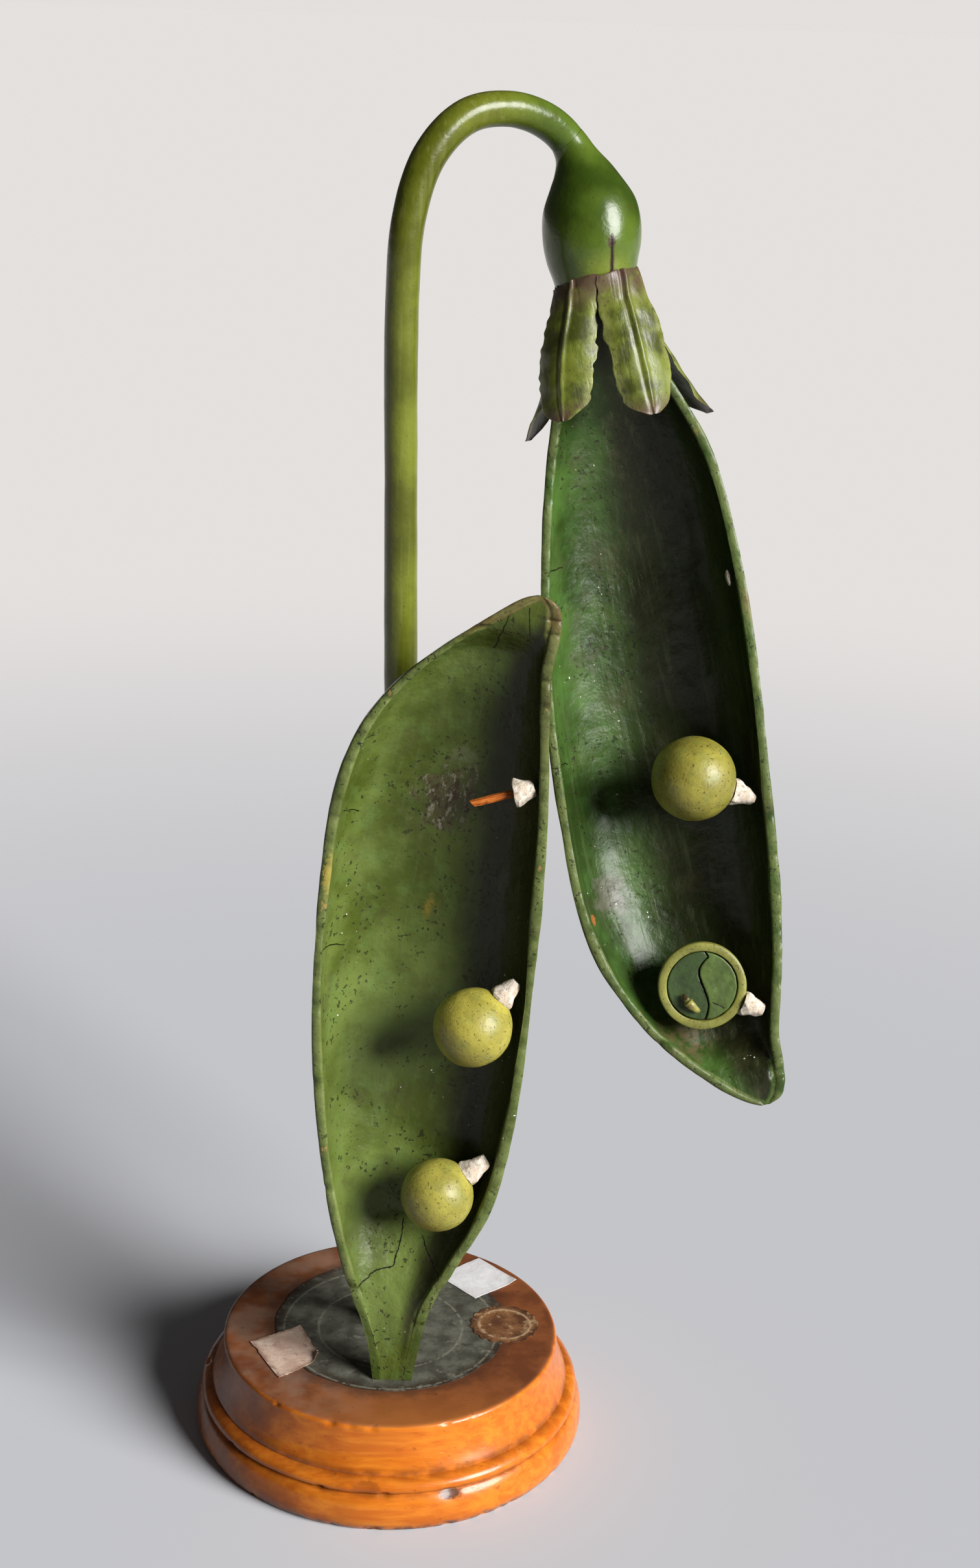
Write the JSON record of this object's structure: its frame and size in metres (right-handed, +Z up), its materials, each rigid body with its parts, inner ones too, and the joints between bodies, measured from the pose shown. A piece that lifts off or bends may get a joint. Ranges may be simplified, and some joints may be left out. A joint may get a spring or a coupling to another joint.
{
  "type": "botanical teaching model of an opened pea pod",
  "caption": "Enlarged papier-mache model of an opened pea pod: one half hangs from an arched stem by its calyx, the other stands in front, on a turned round wooden base.",
  "frame": {"origin": "centre of the base's bottom face, on the surface that the model stands on", "axes": "+Z up, +X to the right towards the hanging half of the pod, +Y to the back, away from the open faces of the pod"},
  "size_m": [0.2002, 0.1404, 0.464],
  "materials": {
    "base_wood": "turned fruitwood under glossy orange varnish, dull and stained on top",
    "disc_paper": "worn matt greenish-grey printed paper",
    "old_paper": "aged pinkish-beige paper",
    "white_paper": "clean white paper",
    "seal_paper": "torn brown embossed paper",
    "stem_iron": "bare iron wire",
    "stem_paint": "papier-mache, olive green paint under varnish",
    "receptacle_paint": "papier-mache, green paint under glossy varnish",
    "sepal_paint": "papier-mache, olive green paint, brown at base and tip",
    "pod_paint": "papier-mache, leaf green paint under aged glossy varnish, worn rim",
    "pea_paint": "papier-mache, yellow-green paint under varnish",
    "kernel_paint": "papier-mache, dark green paint",
    "embryo_paint": "papier-mache, yellow-brown paint",
    "funicle_plaster": "matt white papier-mache and gesso",
    "peg_wood": "whittled bare wood"
  },
  "bodies": {
    "root": {"base": "base_wood", "paper_disc": "disc_paper", "old_label": "old_paper", "white_label": "white_paper", "seal": "seal_paper", "stem_wire": "stem_iron", "stem": "stem_paint", "receptacle": "receptacle_paint", "sepal_front_left": "sepal_paint", "sepal_front_right": "sepal_paint", "sepal_right": "sepal_paint", "sepal_back": "sepal_paint", "sepal_left": "sepal_paint", "hanging_valve": "pod_paint", "standing_valve": "pod_paint", "pea_hanging_upper": "pea_paint", "pea_standing_upper": "pea_paint", "pea_standing_lower": "pea_paint", "pea_coat_cut": "pea_paint", "kernel_left": "kernel_paint", "kernel_right": "kernel_paint", "embryo": "embryo_paint", "funicle_hanging_upper": "funicle_plaster", "funicle_cut": "funicle_plaster", "funicle_standing_upper": "funicle_plaster", "funicle_standing_lower": "funicle_plaster", "funicle_broken": "funicle_plaster", "funicle_scar": "funicle_plaster", "peg_hanging_upper": "peg_wood", "peg_cut": "peg_wood", "peg_standing_upper": "peg_wood", "peg_standing_lower": "peg_wood", "peg_bare": "peg_wood"}
  },
  "joints": []
}
